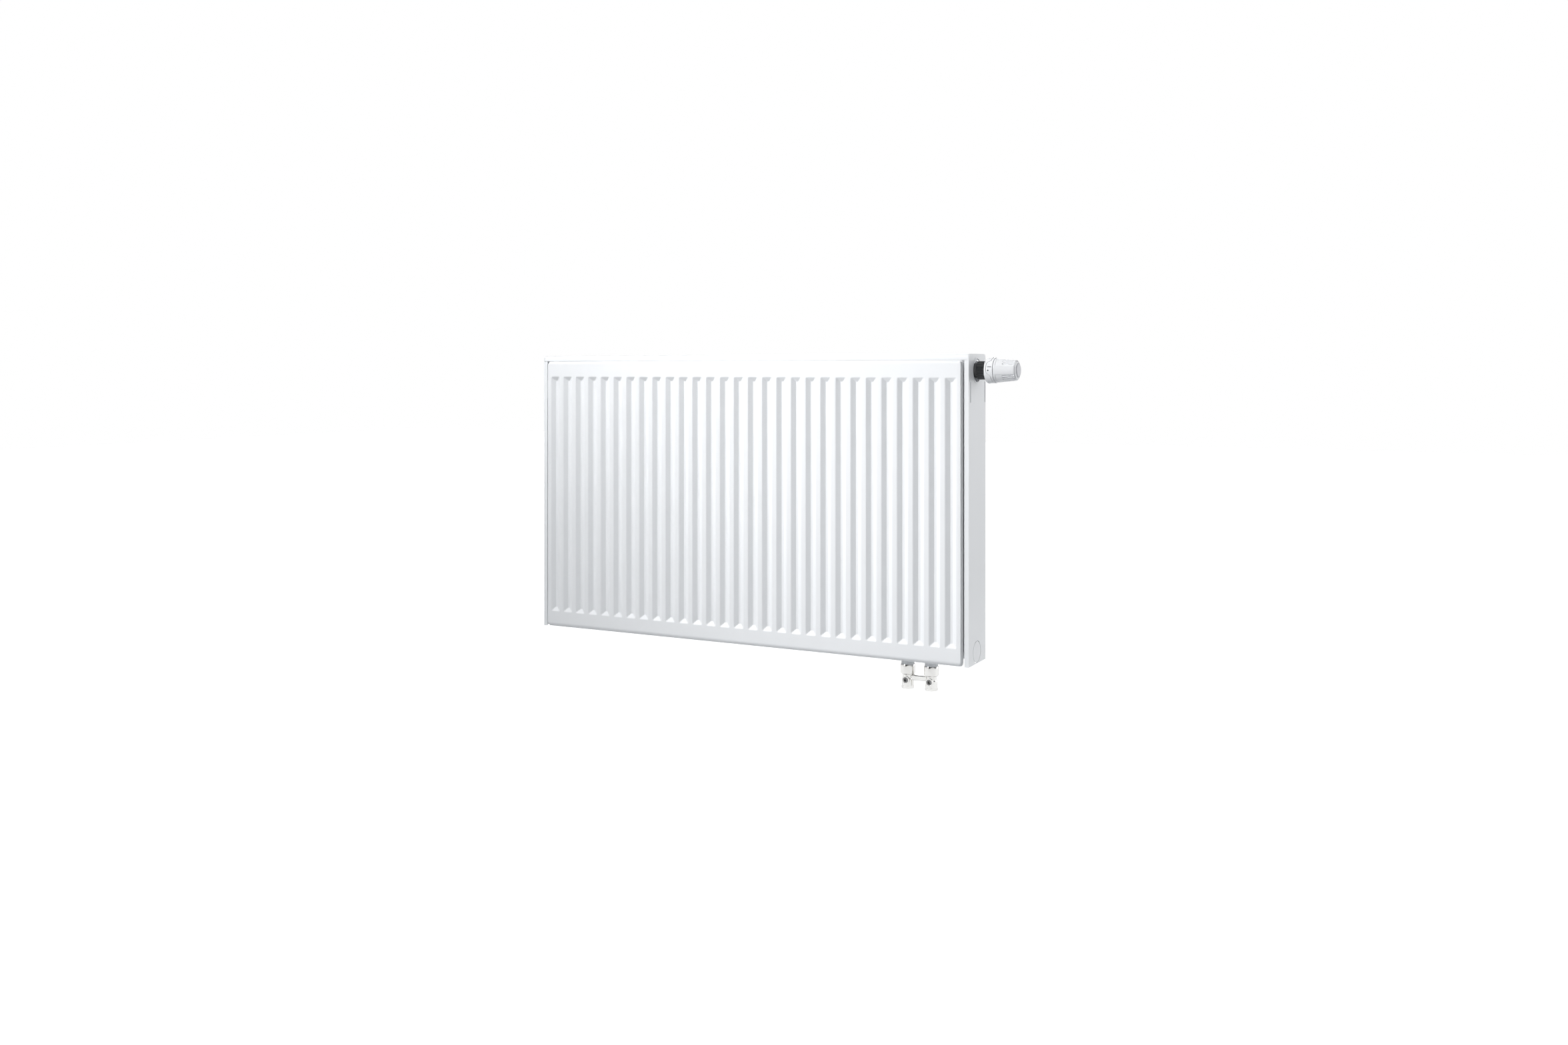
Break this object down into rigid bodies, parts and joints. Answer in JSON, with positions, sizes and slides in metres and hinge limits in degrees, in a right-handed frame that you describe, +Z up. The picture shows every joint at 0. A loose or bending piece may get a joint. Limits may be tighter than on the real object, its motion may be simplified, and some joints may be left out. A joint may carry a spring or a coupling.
{
  "type": "panel radiator with thermostatic valve",
  "caption": "White pressed-steel panel radiator with fluted front, grille, side covers, built-in valve with thermostatic head, and lower shut-off block.",
  "frame": {"origin": "centre of the pattern of four hanging lugs, in the rear plane that rests on the wall brackets, at half the width and half the height", "axes": "+X to the right along the width, towards the valve head; -Y is the fluted front, +Y the wall; +Z up"},
  "size_m": [1.0952, 0.112, 0.6615],
  "materials": {
    "white_enamel": "smooth gloss white stoved enamel",
    "nickel_plate": "bright nickel plate",
    "brass": "turned brass",
    "sealing_rubber": "matt black rubber",
    "stainless_steel": "turned stainless steel",
    "dark_plastic": "dark grey moulded plastic, satin gloss",
    "white_plastic": "white moulded plastic, semi-gloss",
    "sensor_aluminium": "drawn aluminium"
  },
  "bodies": {
    "radiator": {"front_panel_outer_sheet": "white_enamel", "front_panel_inner_sheet": "white_enamel", "rear_panel_inner_sheet": "white_enamel", "rear_panel_outer_sheet": "white_enamel", "front_convector": "white_enamel", "rear_convector": "white_enamel", "top_grille": "white_enamel", "side_cover_left": "white_enamel", "side_cover_right": "white_enamel", "hanging_lugs": "white_enamel", "lower_left_tee": "white_enamel", "upper_left_tee": "white_enamel", "return_tee": "white_enamel", "valve_housing": "white_enamel", "riser_pipe": "white_enamel", "return_pipe": "white_enamel", "nipple_bracket": "white_enamel", "flow_nipple": "white_enamel", "return_nipple": "white_enamel", "valve_insert_body": "nickel_plate", "blank_plug_right": "nickel_plate", "blank_plug_left": "nickel_plate", "vent_plug": "nickel_plate", "block_union_nuts": "nickel_plate", "block_body": "nickel_plate", "blank_plug_seals": "sealing_rubber", "vent_seal": "sealing_rubber", "valve_insert_seal": "sealing_rubber", "block_gaskets": "sealing_rubber", "valve_spring": "stainless_steel", "head_union_nut": "dark_plastic", "head_base": "white_plastic"},
    "sensor_carrier": {"head_sensor": "sensor_aluminium", "overtravel_spring": "stainless_steel", "sensor_retainer": "stainless_steel"},
    "cap": {"head_cap": "white_plastic", "head_cap_disc": "white_plastic"},
    "stem": {"valve_spindle": "stainless_steel", "valve_disc": "sealing_rubber", "head_push_pin": "stainless_steel"},
    "flow_plug": {"flow_shut_off_plug": "nickel_plate"},
    "return_plug": {"return_shut_off_plug": "nickel_plate"},
    "vent_needle": {"vent_screw": "brass"}
  },
  "joints": [
    {"name": "sensor_travel", "type": "slide", "parent": "radiator", "child": "sensor_carrier", "axis": [1, 0, 0], "range_m": [-0.0025, 0.0017]},
    {"name": "cap_turn", "type": "hinge", "parent": "sensor_carrier", "child": "cap", "pos_m": [0.541, -0.061, 0.268], "axis": [1, 0, 0], "range_deg": [-180, 120]},
    {"name": "stem_travel", "type": "slide", "parent": "radiator", "child": "stem", "axis": [1, 0, 0], "range_m": [-0.0025, 0.0017], "deforming": ["valve_spring"]},
    {"name": "flow_shut_off", "type": "hinge", "parent": "radiator", "child": "flow_plug", "pos_m": [0.357, -0.073, -0.3437], "axis": [0, -1, 0], "range_deg": [0, 90]},
    {"name": "return_shut_off", "type": "hinge", "parent": "radiator", "child": "return_plug", "pos_m": [0.407, -0.073, -0.3437], "axis": [0, -1, 0], "range_deg": [0, 90]},
    {"name": "vent_turn", "type": "hinge", "parent": "radiator", "child": "vent_needle", "pos_m": [-0.5, -0.061, 0.268], "axis": [-1, 0, 0], "range_deg": [0, 180]}
  ],
  "couplings": [
    {"joint": "sensor_travel", "follows": "cap_turn", "m_per_rad": 0.00076394},
    {"joint": "stem_travel", "follows": "cap_turn", "m_per_rad": 0.00076394}
  ]
}
